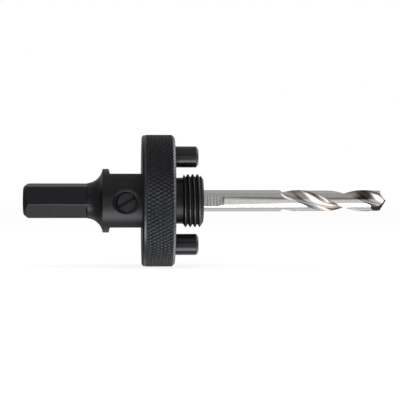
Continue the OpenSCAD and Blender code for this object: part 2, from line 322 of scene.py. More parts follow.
def blackSteel(name, look):
    # Blackened steel: dark oxide with a faint mottle, tool marks, edges rubbed a little brighter, and painted bounce
    # light that lightens the countersink
    steel, tree, shader, place = newSteel(name)
    mottle = speckle(tree, place, look["mottle"])
    colour = ramp(tree, mottle, [(0.3, look["dark"]), (0.7, look["light"])])
    softNormal, edge = edgeLine(tree, look["edgeWidth"])
    worn = ramp(tree, edge, [(0.02, 0.0), (0.3, look["edgeWear"])])
    if "rims" in look:
        worn = maths(tree, "MAXIMUM", worn, rimWear(tree, place, look["rims"]))
    if "crestWear" in look:
        crests = maths(tree, "MULTIPLY", threadCrests(tree, place), look["crestWear"])
        # Painted bounce light: the countersink is blended towards bare steel to stand in for light reflected into it
        sink = maths(tree, "MULTIPLY", sinkZone(tree, place), look["sinkBounceLight"])
        worn = maths(tree, "MAXIMUM", worn, maths(tree, "MAXIMUM", crests, sink))
    rubbed = addNode(tree, "ShaderNodeMix", {"data_type": "RGBA"})
    feed(tree, worn, rubbed.inputs[0])
    feed(tree, colour, rubbed.inputs[6])
    rubbed.inputs[7].default_value = (*look["bare"], 1)
    feed(tree, rubbed.outputs[2], shader.inputs["Base Color"])
    shader.inputs["Metallic"].default_value = look["metal"]
    shader.inputs["IOR"].default_value = 1.4
    grain = speckle(tree, stretched(tree, place, look["markScale"]), look["marks"], 4.0)
    gloss = ramp(tree, grain, [(0.3, look["smooth"]), (0.7, look["rough"])])
    if "cutRough" in look:
        gloss = maths(tree, "ADD", gloss, maths(tree, "MULTIPLY", cutZones(tree, place), look["cutRough"]))
    feed(tree, gloss, shader.inputs["Roughness"])
    marks = addNode(tree, "ShaderNodeBump", Strength=look["markDepth"], Distance=0.02 * mm)
    feed(tree, grain, marks.inputs["Height"])
    feed(tree, softNormal, marks.inputs["Normal"])
    feed(tree, marks.outputs[0], shader.inputs["Normal"])
    return steel


bodyLook = {
    "mottle": 0.9,
    "dark": (0.0185, 0.0185, 0.0205),
    "light": (0.0235, 0.0235, 0.0265),
    "bare": (0.16, 0.163, 0.175),
    "metal": 0.72,
    "edgeWidth": 0.16,
    "edgeWear": 0.4,
    "markScale": (1.0, 0.08, 0.08),  # tool marks run round the arbor
    "marks": 0.12,
    "smooth": 0.31,
    "rough": 0.39,
    "markDepth": 0.2,
    "cutRough": 0.2,
    "crestWear": 0.22,
    # share of bare steel painted into the countersink as bounce light
    "sinkBounceLight": 0.13,
}
pinLook = {
    "mottle": 0.9,
    "dark": (0.027, 0.027, 0.030),
    "light": (0.033, 0.033, 0.037),
    "bare": (0.16, 0.163, 0.175),
    "metal": 0.65,
    "edgeWidth": 0.16,
    "edgeWear": 0.4,
    "markScale": (1.0, 0.08, 0.08),
    "marks": 0.12,
    "smooth": 0.14,
    "rough": 0.19,
    "markDepth": 0.05,
}
collarLook = dict(pinLook, dark=(0.014, 0.0145, 0.016), light=(0.019, 0.020, 0.022), metal=0.72, smooth=0.25,
                  rough=0.34, markDepth=0.15, edgeWidth=0.1, edgeWear=0.5, rims=[(-8.88, -8.4, 0.0, 0, 0.25), (-0.62, 0.12, 1.0, 19.12, 1.0)])
screwLook = dict(pinLook, dark=(0.022, 0.022, 0.025), light=(0.030, 0.030, 0.034), markScale=(1, 1, 1), mottle=0.4,
                 smooth=0.4, rough=0.5, edgeWear=0.3)



def flatZone(tree, x, look):
    # 1 on the flat that the set screw bears on, which is ground across
    turn = math.radians(look["flatTurn"])
    face = addNode(tree, "ShaderNodeNewGeometry")
    facing = addNode(tree, "ShaderNodeVectorMath", {"operation": "DOT_PRODUCT"})
    feed(tree, face.outputs["Normal"], facing.inputs[0])
    facing.inputs[1].default_value = (0, -math.cos(turn), -math.sin(turn))
    level = maths(tree, "GREATER_THAN", facing.outputs["Value"], 0.96)
    return maths(tree, "MULTIPLY", level, maths(tree, "LESS_THAN", x, look["flatTo"] * mm))


def heelZone(tree, look):
    # 1 on the two heel faces of the point, which are painted near black
    face = addNode(tree, "ShaderNodeNewGeometry").outputs["Normal"]
    total = 0.0
    for side in (1, -1):
        facing = addNode(tree, "ShaderNodeVectorMath", {"operation": "DOT_PRODUCT"})
        feed(tree, face, facing.inputs[0])
        y, z = look["heelFall"]
        way = Vector((1, side * y, side * z)).normalized()
        facing.inputs[1].default_value = way
        total = maths(tree, "ADD", total, maths(tree, "GREATER_THAN", facing.outputs["Value"], 0.985))
    return total


def fluteShadeAndTint(tree, place, split, look):
    # Painted light and shade round each flute, set by which way round the axis a spot faces, with a straw-brown tint
    # that deepens where it is darker
    turn = maths(tree, "ARCTAN2", split.outputs["Z"], maths(tree, "MULTIPLY", split.outputs["Y"], -1.0))
    wobble = maths(tree, "MULTIPLY_ADD", speckle(tree, place, 1.6), 0.08, 0.46)
    share = maths(tree, "FRACT", maths(tree, "MULTIPLY_ADD", turn, 1 / math.pi, wobble))
    tint = None
    for near, far, levels in look["shadesAndTints"]:
        stops = []
        for spot, level in levels:
            warm = 0.34 * min(1, (0.66 - level) / 0.45)
            stops.append((spot, (level, level * (1 - warm * 0.6), level * (1 - warm))))
        here = ramp(tree, share, stops)
        if tint is not None:
            along = addNode(tree, "ShaderNodeMapRange", Value=split.outputs["X"])
            along.inputs["From Min"].default_value = near * mm
            along.inputs["From Max"].default_value = far * mm
            both = addNode(tree, "ShaderNodeMix", {"data_type": "RGBA"})
            feed(tree, along.outputs["Result"], both.inputs["Factor"])
            feed(tree, tint, both.inputs[6])
            feed(tree, here, both.inputs[7])
            here = both.outputs[2]
        tint = here
    return tint


def groundSteel(name, look):
    # Bright ground steel, with painted light and shade in the flutes and a straw-brown tint that deepens with it
    steel, tree, shader, place = newSteel(name)
    split = addNode(tree, "ShaderNodeSeparateXYZ", Vector=place)
    across = maths(tree, "POWER", split.outputs["Y"], 2.0)
    up = maths(tree, "POWER", split.outputs["Z"], 2.0)
    radius = maths(tree, "SQRT", maths(tree, "ADD", across, up))
    flat = flatZone(tree, split.outputs["X"], look)
    deep = maths(tree, "LESS_THAN", radius, look["fluteRadius"] * mm)
    ahead = maths(tree, "GREATER_THAN", split.outputs["X"], look["fluteFrom"] * mm)
    face = addNode(tree, "ShaderNodeNewGeometry")
    spoke = addNode(tree, "ShaderNodeVectorMath", {"operation": "NORMALIZE"})
    feed(tree, addNode(tree, "ShaderNodeCombineXYZ", Y=split.outputs["Y"], Z=split.outputs["Z"]).outputs[0], spoke.inputs[0])
    outward = addNode(tree, "ShaderNodeVectorMath", {"operation": "DOT_PRODUCT"})
    feed(tree, spoke.outputs[0], outward.inputs[0])
    feed(tree, face.outputs["Normal"], outward.inputs[1])
    deep = maths(tree, "MAXIMUM", deep, maths(tree, "LESS_THAN", outward.outputs["Value"], 0.985))
    facing = addNode(tree, "ShaderNodeSeparateXYZ", Vector=face.outputs["Normal"])
    sideways = maths(tree, "LESS_THAN", facing.outputs["X"], 0.72)
    inFlute = maths(tree, "MULTIPLY", maths(tree, "MULTIPLY", deep, ahead), sideways)
    mottle = speckle(tree, place, look["mottle"])
    bright = ramp(tree, mottle, [(0.3, look["dark"]), (0.7, look["light"])])
    # Painted light and shade in the flutes, by the way each spot faces, with their straw tint
    strawAndShade = fluteShadeAndTint(tree, place, split, look)
    both = addNode(tree, "ShaderNodeMix", {"data_type": "RGBA"})
    feed(tree, inFlute, both.inputs[0])
    feed(tree, bright, both.inputs[6])
    feed(tree, strawAndShade, both.inputs[7])
    wander = speckle(tree, stretched(tree, place, (1.0, 0.04, 0.04)), 0.7, 2.0)
    pace = maths(tree, "DIVIDE", split.outputs["X"], look["linePitch"] * mm)
    lines = maths(tree, "FRACT", maths(tree, "MULTIPLY_ADD", wander, 1.6, pace))
    striped = ramp(tree, lines, [
        (0.0, look["lineLight"]), (0.2, look["lineDark"]), (0.34, look["lineDark"]), (0.55, look["lineLight"])])
    whole = addNode(tree, "ShaderNodeMix", {"data_type": "RGBA"})
    feed(tree, flat, whole.inputs[0])
    feed(tree, both.outputs[2], whole.inputs[6])
    feed(tree, striped, whole.inputs[7])
    heel = addNode(tree, "ShaderNodeMix", {"data_type": "RGBA"})
    feed(tree, heelZone(tree, look), heel.inputs[0])
    feed(tree, whole.outputs[2], heel.inputs[6])
    heel.inputs[7].default_value = (*look["heelDark"], 1)
    feed(tree, heel.outputs[2], shader.inputs["Base Color"])
    shader.inputs["Metallic"].default_value = 1.0
    grain = speckle(tree, stretched(tree, place, (1.0, 0.1, 0.1)), 0.07, 4.0)
    gloss = ramp(tree, grain, [(0.3, look["smooth"]), (0.7, look["rough"])])
    gloss = maths(tree, "ADD", gloss, maths(tree, "MULTIPLY", flat, look["flatRough"]))
    feed(tree, gloss, shader.inputs["Roughness"])
    marks = addNode(tree, "ShaderNodeBump", Strength=look["markDepth"], Distance=0.01 * mm)
    feed(tree, grain, marks.inputs["Height"])
    feed(tree, marks.outputs[0], shader.inputs["Normal"])
    return steel


drillLook = {
    "mottle": 1.2,
    "dark": (0.595, 0.587, 0.562),
    "light": (0.665, 0.657, 0.632),
    # From one x to the next, the painted light and shade of the flute steel by the share of a half turn that it faces
    "shadesAndTints": [
        (0, 0, [(0.0, 0.45), (0.06, 0.58), (0.2, 0.66), (0.55, 0.62), (0.68, 0.5), (0.76, 0.36), (0.87, 0.32),
                (1.0, 0.45)]),
        (47.6, 50.0, [(0.0, 0.12), (0.05, 0.25), (0.12, 0.5), (0.22, 0.64), (0.58, 0.62), (0.65, 0.48), (0.71, 0.24),
                      (0.77, 0.1), (0.86, 0.05), (1.0, 0.08)]),
        (59.0, 62.0, [(0.0, 0.4), (0.2, 0.5), (0.6, 0.52), (0.8, 0.46), (1.0, 0.4)]),
    ],
    "flatTurn": 3.2,
    "flatTo": 15.2,
    "flatRough": 0.2,
    "linePitch": 0.96,
    "lineDark": (0.17, 0.167, 0.16),
    "lineLight": (0.4, 0.395, 0.38),
    "heelFall": (-1.3, -0.95),
    "heelDark": (0.006, 0.0055, 0.005),
    "fluteRadius": 3.03,
    "fluteFrom": 31.0,
    "smooth": 0.12,
    "rough": 0.2,
    "markDepth": 0.2,
}


def springSteel(name):
    steel, tree, shader, place = newSteel(name)
    drawn = speckle(tree, stretched(tree, place, (0.2, 1, 1)), 0.15)
    feed(tree, ramp(tree, drawn, [(0.3, (0.24, 0.25, 0.27)), (0.7, (0.36, 0.37, 0.39))]), shader.inputs["Base Color"])
    shader.inputs["Metallic"].default_value = 1.0
    feed(tree, ramp(tree, drawn, [(0.3, 0.28), (0.7, 0.42)]), shader.inputs["Roughness"])
    return steel


arborSteel = blackSteel("blackenedBarSteel", bodyLook)
collarSteel = blackSteel("blackenedCollarSteel", collarLook)
pinSteel = blackSteel("blackenedPinSteel", pinLook)
screwSteel = blackSteel("blackenedScrewSteel", screwLook)
drillSteel = groundSteel("groundDrillSteel", drillLook)
ringSteel = springSteel("springWireSteel")
print("materials made")


# Mesh helpers
def newPiece(name, mesh):
    bmesh.ops.recalc_face_normals(mesh, faces=mesh.faces)
    data = bpy.data.meshes.new(name)
    mesh.to_mesh(data)
    mesh.free()
    piece = bpy.data.objects.new(name, data)
    scene.collection.objects.link(piece)
    return piece


def softened(corners, steps=4, closed=False):
    # Breaks each corner (a, b, reach) with a small curve that starts reach before it
    path = []
    last = len(corners) - 1
    for i, (a, b, reach) in enumerate(corners):
        here = Vector((a, b))
        if reach == 0 or (not closed and i in (0, last)):
            path.append(tuple(here))
            continue
        before = Vector(corners[i - 1][:2])
        after = Vector(corners[(i + 1) % len(corners)][:2])
        start = here + (before - here).normalized() * reach
        end = here + (after - here).normalized() * reach
        for k in range(steps + 1):
            t = k / steps
            path.append(tuple(start * (1 - t) ** 2 + here * 2 * t * (1 - t) + end * t ** 2))
    return path


def turnedPiece(name, profile, segments=192, place=None):
    # A solid of revolution about X, from (x, radius) pairs that start and end on the axis
    mesh = bmesh.new()
    rings = []
    for x, r in profile:
        if r < 1e-6:
            rings.append([mesh.verts.new((x * mm, 0, 0))])
            continue
        ring = []
        for s in range(segments):
            a = 2 * math.pi * s / segments
            ring.append(mesh.verts.new((x * mm, r * math.cos(a) * mm, r * math.sin(a) * mm)))
        rings.append(ring)
    for near, far in zip(rings, rings[1:]):
        for s in range(segments):
            t = (s + 1) % segments
            if len(near) == 1:
                mesh.faces.new((near[0], far[s], far[t]))
            elif len(far) == 1:
                mesh.faces.new((near[s], far[0], near[t]))
            else:
                mesh.faces.new((near[s], far[s], far[t], near[t]))
    if place is not None:
        bmesh.ops.transform(mesh, matrix=place, verts=mesh.verts)
    return newPiece(name, mesh)


def barPiece(name, outline, ends, rows=1, along="X"):
    # A straight bar of a closed outline; along X it is drawn in Y and Z, and along Y in X and Z
    mesh = bmesh.new()
    rings = []
    for row in range(rows + 1):
        far = (ends[0] + (ends[1] - ends[0]) * row / rows) * mm
        if along == "X":
            rings.append([mesh.verts.new((far, a * mm, b * mm)) for a, b in outline])
        else:
            rings.append([mesh.verts.new((a * mm, far, b * mm)) for a, b in outline])
    count = len(outline)
    for near, next_ in zip(rings, rings[1:]):
        for s in range(count):
            t = (s + 1) % count
            mesh.faces.new((near[s], near[t], next_[t], next_[s]))
    mesh.faces.new(rings[0][::-1])
    mesh.faces.new(rings[-1])
    return newPiece(name, mesh)


def settle(piece):
    # Turns the evaluated piece into a plain mesh with no modifiers left
    graph = bpy.context.evaluated_depsgraph_get()
    data = bpy.data.meshes.new_from_object(piece.evaluated_get(graph))
    data.name = piece.name
    piece.modifiers.clear()
    piece.data = data
    return piece


def combine(piece, tool, operation="DIFFERENCE"):
    step = piece.modifiers.new("combine", "BOOLEAN")
    step.operation = operation
    step.solver = "EXACT"
    step.object = tool
    settle(piece)
    bpy.data.objects.remove(tool)
    return piece


def finishMesh(piece, steel, angle=28):
    # Merges doubles, shades by angle and gives the piece its one material
    mesh = bmesh.new()
    mesh.from_mesh(piece.data)
    bmesh.ops.remove_doubles(mesh, verts=mesh.verts, dist=0.0005 * mm)
    bmesh.ops.dissolve_degenerate(mesh, edges=mesh.edges, dist=0.0005 * mm)
    loose = [v for v in mesh.verts if not v.link_faces]
    bmesh.ops.delete(mesh, geom=loose, context="VERTS")
    for face in mesh.faces:
        face.smooth = True
        face.material_index = 0
    open_ = 0
    for edge in mesh.edges:
        if len(edge.link_faces) != 2:
            open_ += 1
            continue
        edge.smooth = edge.calc_face_angle(0) < math.radians(angle)
    mesh.to_mesh(piece.data)
    mesh.free()
    piece.data.materials.clear()
    piece.data.materials.append(steel)
    print("made", piece.name, "with", len(piece.data.polygons), "faces and", open_, "open edges")


# Geometry node helpers
def newTree(name, sockets):
    tree = bpy.data.node_groups.new(name, "GeometryNodeTree")
    face = tree.interface
    face.new_socket("Geometry", in_out="INPUT", socket_type="NodeSocketGeometry")
    kinds = {int: "NodeSocketInt", float: "NodeSocketFloat"}
    for label, value in sockets.items():
        face.new_socket(label, in_out="INPUT", socket_type=kinds[type(value)])
    face.new_socket("Geometry", in_out="OUTPUT", socket_type="NodeSocketGeometry")
    return tree, addNode(tree, "NodeGroupInput").outputs


def closeTree(tree, made, steel):
    real = addNode(tree, "GeometryNodeRealizeInstances", Geometry=made)
    painted = addNode(tree, "GeometryNodeSetMaterial", Geometry=real.outputs[0])
    painted.inputs["Material"].default_value = steel
    result = addNode(tree, "NodeGroupOutput")
    tree.links.new(painted.outputs[0], result.inputs[0])


def grownPiece(piece, tree, values):
    step = piece.modifiers.new("grow", "NODES")
    step.node_group = tree
    for item in tree.interface.items_tree:
        if item.item_type == "SOCKET" and item.in_out == "INPUT" and item.name in values:
            step[item.identifier] = values[item.name]
    settle(piece)
    mesh = bmesh.new()
    mesh.from_mesh(piece.data)
    bmesh.ops.recalc_face_normals(mesh, faces=mesh.faces)
    mesh.to_mesh(piece.data)
    mesh.free()
    return piece


def emptyPiece(name):
    piece = bpy.data.objects.new(name, bpy.data.meshes.new(name))
    scene.collection.objects.link(piece)
    return piece


# Thread: a V tool that winds along a spiral, to be cut out of a round
def threadTree(steel):
    sockets = {
        "Pitch": 1.411, "Root Radius": 7.07, "Root Flat": 0.26, "Depth": 0.97, "Start": 1.84,
        "Turns": 6.0, "Steps": 96}
    tree, given = newTree("threadTool", sockets)
    height = maths(tree, "MULTIPLY", given["Pitch"], given["Turns"])
    spiral = addNode(tree, "GeometryNodeCurveSpiral")
    for label, value in (
            ("Resolution", given["Steps"]), ("Rotations", given["Turns"]), ("Height", height),
            ("Start Radius", given["Root Radius"]), ("End Radius", given["Root Radius"])):
        feed(tree, value, spiral.inputs[label])
    spiral.inputs["Reverse"].default_value = True
    upright = addNode(tree, "GeometryNodeSetCurveNormal", {"mode": "Z_UP"}, Curve=spiral.outputs[0])
    # The section stands on its narrow root and widens outwards by 30 degrees on each side
    outer = maths(tree, "MULTIPLY_ADD", given["Depth"], 2 * math.tan(math.radians(30)), given["Root Flat"])
    section = addNode(tree, "GeometryNodeCurvePrimitiveQuadrilateral", {"mode": "TRAPEZOID"})
    for label, value in (
            ("Bottom Width", given["Root Flat"]), ("Top Width", outer), ("Offset", 0.0),
            ("Height", given["Depth"])):
        feed(tree, value, section.inputs[label])
    middle = maths(tree, "MULTIPLY", given["Depth"], 0.5)
    lift = addNode(tree, "ShaderNodeCombineXYZ", Y=middle)
    raised = addNode(tree, "GeometryNodeTransform", Geometry=section.outputs[0], Translation=lift.outputs[0])
    turned = addNode(tree, "GeometryNodeTransform", Geometry=raised.outputs[0])
    turned.inputs["Rotation"].default_value = (0, 0, -math.pi / 2)
    swept = addNode(tree, "GeometryNodeCurveToMesh", Curve=upright.outputs[0])
    feed(tree, turned.outputs[0], swept.inputs["Profile Curve"])
    swept.inputs["Fill Caps"].default_value = True
    laid = addNode(tree, "GeometryNodeTransform", Geometry=swept.outputs[0])
    laid.inputs["Rotation"].default_value = (math.pi / 2, 0, math.pi / 2)
    move = addNode(tree, "ShaderNodeCombineXYZ", X=given["Start"])
    moved = addNode(tree, "GeometryNodeTransform", Geometry=laid.outputs[0], Translation=move.outputs[0])
    shrunk = addNode(tree, "GeometryNodeTransform", Geometry=moved.outputs[0])
    shrunk.inputs["Scale"].default_value = (mm, mm, mm)
    closeTree(tree, shrunk.outputs[0], steel)
    return tree


threadTool = threadTree(arborSteel)


# Arbor body
bodySizes = {
    "bodyRadius": 9.525,
    "bodyLength": 21.2,
    "flatsHalf": 8.0,
    "lugX": -19.35,
    "lugLean": 0.38,
    "lugTop": 9.525,
    "flareX": -25.6,
    "flareStep": 0.53,
    "flareFoot": 5.2925,
    "flareTop": 9.405,
    "flareRadius": 4.92,
    "flareCentre": (-26.0567, 10.1905),
    "neckRadius": 6.8975,
    "neckLength": 2.8,
    "threadRadius": 7.9375,
    "noseX": 8.9,
    "noseChamfer": 1.5,
    "noseChamferLength": 1.0,
    "boreRadius": 3.2,
    "boreBottom": -19.05,
    "boreCone": 59.0,
    "edge": 0.12,
}
shankSizes = {
    "acrossFlats": 9.525,
    "turn": 11.0,
    "endX": -44.76,
    "chamferDepth": 1.4,
    "chamferLength": 1.75,
    "edge": 0.14,
    "endEdge": 0.5,
}
screwHoleSizes = {
    "x": -14.125,
    "radius": 3.0,
    "bevel": 1.15,
    "outside": 9.525,
    "turn": 3.2,
}
noseThread = {
    "Pitch": 1.411, "Root Radius": 7.07, "Root Flat": 0.12, "Depth": 1.02, "Start": 1.8808,
    "Turns": 6.0, "Steps": 96}


def nearSide(x, turn):
    # Turns what is drawn along X to face the near side, a little below the level
    tilt = Matrix.Rotation(math.radians(turn), 4, "X")
    return tilt @ Matrix.Translation((x * mm, 0, 0)) @ Matrix.Rotation(math.radians(-90), 4, "Z")


def flareCurve(sizes, steps=20):
    # The hollow curve from the shank up to the rim
    cx, cr = sizes["flareCentre"]
    a0 = math.atan2(sizes["flareFoot"] - cr, sizes["flareX"] - cx)
    a1 = math.atan2(sizes["flareTop"] - cr, -sizes["bodyLength"] - cx)
    points = []
    for k in range(steps + 1):
        a = a0 + (a1 - a0) * k / steps
        points.append((cx + sizes["flareRadius"] * math.cos(a), cr + sizes["flareRadius"] * math.sin(a), 0))
    return points


def makeArborBody(sizes, shank, hole):
    e = sizes["edge"]
    front = sizes["flareX"] - sizes["flareStep"]
    rim = -sizes["bodyLength"]
    corners = [(front, 0, 0), (front, shank["acrossFlats"] / 2, 0)]
    corners += flareCurve(sizes)
    corners += [
        (rim, sizes["bodyRadius"], e),
        (0, sizes["bodyRadius"], e),
        (0, sizes["neckRadius"], e),
        (sizes["neckLength"], sizes["neckRadius"], e),
        (sizes["neckLength"] + 0.35, sizes["threadRadius"], e),
        (sizes["noseX"] - sizes["noseChamferLength"], sizes["threadRadius"], e),
        (sizes["noseX"], sizes["threadRadius"] - sizes["noseChamfer"], e),
        (sizes["noseX"], 0, 0),
    ]
    body = turnedPiece("arborBody", softened(corners), 240)

    # Hexagon with its edges broken, turned to a chamfer at its end
    corner = shank["acrossFlats"] / 2 / math.cos(math.radians(30))
    outline = []
    for k in range(6):
        a = math.radians(shank["turn"] + 60 * k)
        outline.append((corner * math.cos(a), corner * math.sin(a), shank["edge"]))
    hexagon = barPiece("hexagon", softened(outline, 4, True), (shank["endX"] - 1, rim - 0.6))
    slope = shank["chamferLength"] / shank["chamferDepth"]
    turning = turnedPiece("shankTurning", softened([
        (shank["endX"], 0, 0),
        (shank["endX"], corner - shank["chamferDepth"], shank["endEdge"]),
        (shank["endX"] + shank["chamferLength"] + slope, corner + 1, 0),
        (rim - 0.3, corner + 1, 0),
        (rim - 0.3, 0, 0)]), 240)
    combine(hexagon, turning, "INTERSECT")
    combine(body, hexagon, "UNION")

    # Flats on the top and the bottom, which stop at the lugs
    lean = sizes["lugLean"] / (sizes["lugTop"] - sizes["flatsHalf"])
    for side in (1, -1):
        outline = [
            (sizes["lugX"] + sizes["lugLean"], side * sizes["flatsHalf"]),
            (1.0, side * sizes["flatsHalf"]),
            (1.0, side * (sizes["lugTop"] + 1)),
            (sizes["lugX"] - lean, side * (sizes["lugTop"] + 1))]
        combine(body, barPiece("flatCut", outline, (-12, 12), along="Y"))

    # Pilot bore and the set screw's hole
    r = sizes["boreRadius"]
    depth = r / math.tan(math.radians(sizes["boreCone"]))
    combine(body, turnedPiece("pilotBore", softened([
        (sizes["boreBottom"] - depth, 0, 0),
        (sizes["boreBottom"], r, 0),
        (sizes["noseX"] - 0.25, r, 0),
        (sizes["noseX"] + 0.75, r + 1, 0),
        (sizes["noseX"] + 0.75, 0, 0)]), 128))
    out = hole["outside"]
    place = nearSide(hole["x"], hole["turn"])
    combine(body, turnedPiece("screwHole", [
        (0, 0),
        (0, hole["radius"]),
        (out - hole["bevel"], hole["radius"]),
        (out + 1, hole["radius"] + hole["bevel"] + 1),
        (out + 1, 0)], 128, place))

    # Thread on the nose
    combine(body, grownPiece(emptyPiece("noseThreadTool"), threadTool, noseThread))
    finishMesh(body, arborSteel)
    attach(body, "arbor")
    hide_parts("arbor_body")


makeArborBody(bodySizes, shankSizes, screwHoleSizes)


# Set screw
screwSizes = {
    "x": -14.125,
    "headY": -8.19,
    "tipY": -2.795,
    "radius": 2.95,
    "tipRadius": 1.5,
    "slotWidth": 0.95,
    "slotDepth": 1.5,
    "slotTurn": 30.0,
    "turn": 3.2,
    "edge": 0.14,
}
screwThread = {
    "Pitch": 1.0, "Root Radius": 2.5, "Root Flat": 0.16, "Depth": 0.55, "Start": 1.7,
    "Turns": 7.0, "Steps": 48}


def makeSetScrew(sizes):
    # Drawn along X from its tip, then turned to face the near side
    tip = -sizes["tipY"]
    head = -sizes["headY"]
    cone = sizes["radius"] - sizes["tipRadius"]
    screw = turnedPiece("setScrew", softened([
        (tip, 0, 0),
        (tip, sizes["tipRadius"], 0.1),
        (tip + cone, sizes["radius"], 0.1),
        (head, sizes["radius"], sizes["edge"]),
        (head, 0, 0)]), 96)
    combine(screw, grownPiece(emptyPiece("screwThreadTool"), threadTool, screwThread))
    half = sizes["slotWidth"] / 2
    reach = sizes["radius"] + 1
    outline = [
        (head - sizes["slotDepth"], -half), (head + 1, -half), (head + 1, half),
        (head - sizes["slotDepth"], half)]
    slot = barPiece("slotCut", outline, (-reach, reach), along="Y")
    slot.data.transform(Matrix.Rotation(math.radians(sizes["slotTurn"]), 4, "X"))
    combine(screw, slot)
    screw.data.transform(nearSide(sizes["x"], sizes["turn"]))
    finishMesh(screw, screwSteel)
    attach(screw, "screw")
    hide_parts("set_screw")


makeSetScrew(screwSizes)


# Drive collar
collarSizes = {
    "rearX": -9.5,
    "frontX": 0.28,
    "radius": 19.7,
    "rearChamfer": 0.62,
    "frontChamfer": 0.8,
    "boreRadius": 9.575,
    "boreFlats": 8.05,
    "grooveX": -7.9,
    "grooveRadius": 10.845,
    "grooveWidth": 1.4,
    "pinZ": 13.1,
    "pinHole": 2.785,
    "pinHoleDepth": 5.79,
}
knurlSizes = {
    "Starts": 100.0,
    "Pitch": 2.14,
    "Depth": 0.31,
    "Gain": 2.0,
    "Drift": 0.45,  # how much one family of grooves gives way to the other
    "Rim Width": 1.25,
    "Rim Drop": 0.1,
    "Around": 1200,
    "Along": 58,
}


def wave(tree, phase):
    # 1 on a ridge and 0 halfway to the next one
    part = maths(tree, "FRACT", phase)
    return maths(tree, "ABSOLUTE", maths(tree, "MULTIPLY_ADD", part, 2.0, -1.0))


def knurlTree(steel):
    sockets = {
        "Rear": 0.0, "Width": 10.4, "Radius": 19.7, "Rear Chamfer": 0.65, "Front Chamfer": 0.7,
        "Starts": 100.0, "Pitch": 2.14, "Depth": 0.34, "Gain": 2.0, "Drift": 0.45, "Rim Width": 1.1,
        "Rim Drop": 0.2, "Around": 1200, "Along": 58}
    tree, given = newTree("knurledBlank", sockets)
    grid = addNode(tree, "GeometryNodeMeshGrid", Size_X=1.0, Size_Y=1.0)
    feed(tree, maths(tree, "ADD", given["Around"], 1.0), grid.inputs["Vertices X"])
    feed(tree, maths(tree, "ADD", given["Along"], 1.0), grid.inputs["Vertices Y"])
    spot = addNode(tree, "ShaderNodeSeparateXYZ", Vector=addNode(tree, "GeometryNodeInputPosition").outputs[0])
    around = maths(tree, "ADD", spot.outputs["X"], 0.5)
    along = maths(tree, "MULTIPLY", maths(tree, "ADD", spot.outputs["Y"], 0.5), given["Width"])
    left = maths(tree, "SUBTRACT", given["Width"], along)

    # Two families of grooves that cross leave the diamonds, and the wheels bit unevenly
    climb = maths(tree, "DIVIDE", along, given["Pitch"])
    start = maths(tree, "MULTIPLY", around, given["Starts"])
    angle = maths(tree, "MULTIPLY", around, 2 * math.pi)
    height = maths(tree, "MULTIPLY", maths(tree, "SINE", angle), 1.7)
    across = maths(tree, "SUBTRACT", maths(tree, "DIVIDE", along, given["Width"]), 0.5)
    lean = maths(tree, "MULTIPLY", maths(tree, "ADD", height, across), given["Drift"])
    cuts = []
    for way in (1.0, -1.0):
        ridge = wave(tree, maths(tree, "MULTIPLY_ADD", climb, way, start))
        groove = maths(tree, "SUBTRACT", 1.0, maths(tree, "MINIMUM", maths(tree, "MULTIPLY", ridge, given["Gain"]), 1.0))
        bite = addNode(tree, "ShaderNodeClamp", Value=maths(tree, "MULTIPLY_ADD", lean, -way, 0.8), Min=0.35, Max=1.0)
        cuts.append(maths(tree, "MULTIPLY", groove, bite.outputs[0]))
    both = maths(tree, "MAXIMUM", cuts[0], cuts[1])
    toFront = maths(tree, "MAXIMUM", maths(tree, "SUBTRACT", 1.4, left), 0.0)
    deep = maths(tree, "MULTIPLY_ADD", toFront, 0.25, given["Depth"])
    cut = maths(tree, "MULTIPLY", both, deep)
    knurled = maths(tree, "SUBTRACT", given["Radius"], cut)

    # Both chamfers and the plain rim trim the diamonds
    rear = maths(tree, "ADD", maths(tree, "SUBTRACT", given["Radius"], given["Rear Chamfer"]), along)
    front = maths(tree, "ADD", maths(tree, "SUBTRACT", given["Radius"], given["Front Chamfer"]), left)
    onRim = maths(tree, "LESS_THAN", along, given["Rim Width"])
    rim = maths(tree, "SUBTRACT", given["Radius"], maths(tree, "MULTIPLY", onRim, given["Rim Drop"]))
    shaped = maths(tree, "MINIMUM", maths(tree, "MAXIMUM", knurled, maths(tree, "MULTIPLY", onRim, 1e3)), rim)
    shaped = maths(tree, "MINIMUM", shaped, maths(tree, "MINIMUM", rear, front))

    far = maths(tree, "MULTIPLY", shaped, maths(tree, "COSINE", angle))
    up = maths(tree, "MULTIPLY", shaped, maths(tree, "SINE", angle))
    place = addNode(tree, "ShaderNodeCombineXYZ", X=maths(tree, "ADD", along, given["Rear"]), Y=far, Z=up)
    band = addNode(tree, "GeometryNodeSetPosition", Geometry=grid.outputs["Mesh"], Position=place.outputs[0])

    # A flat face closes each end
    joined = addNode(tree, "GeometryNodeJoinGeometry")
    tree.links.new(band.outputs[0], joined.inputs[0])
    for chamfer, reach in (("Rear Chamfer", 0.0), ("Front Chamfer", given["Width"])):
        disc = addNode(tree, "GeometryNodeMeshCircle", {"fill_type": "NGON"})
        feed(tree, given["Around"], disc.inputs["Vertices"])
        feed(tree, maths(tree, "SUBTRACT", given["Radius"], given[chamfer]), disc.inputs["Radius"])
        move = addNode(tree, "ShaderNodeCombineXYZ", X=maths(tree, "ADD", given["Rear"], reach))
        cap = addNode(tree, "GeometryNodeTransform", Geometry=disc.outputs[0], Translation=move.outputs[0])
        cap.inputs["Rotation"].default_value = (math.pi / 2, 0, math.pi / 2)
        tree.links.new(cap.outputs[0], joined.inputs[0])
    merged = addNode(tree, "GeometryNodeMergeByDistance", Geometry=joined.outputs[0], Distance=0.002)
    shrunk = addNode(tree, "GeometryNodeTransform", Geometry=merged.outputs[0])
    shrunk.inputs["Scale"].default_value = (mm, mm, mm)
    closeTree(tree, shrunk.outputs[0], steel)
    return tree


def doubleD(radius, flats, steps=48):
    edge = math.degrees(math.asin(flats / radius))
    outline = []
    for side in (0, 180):
        for k in range(steps + 1):
            a = math.radians(side - edge + 2 * edge * k / steps)
            outline.append((radius * math.cos(a), radius * math.sin(a)))
    return outline


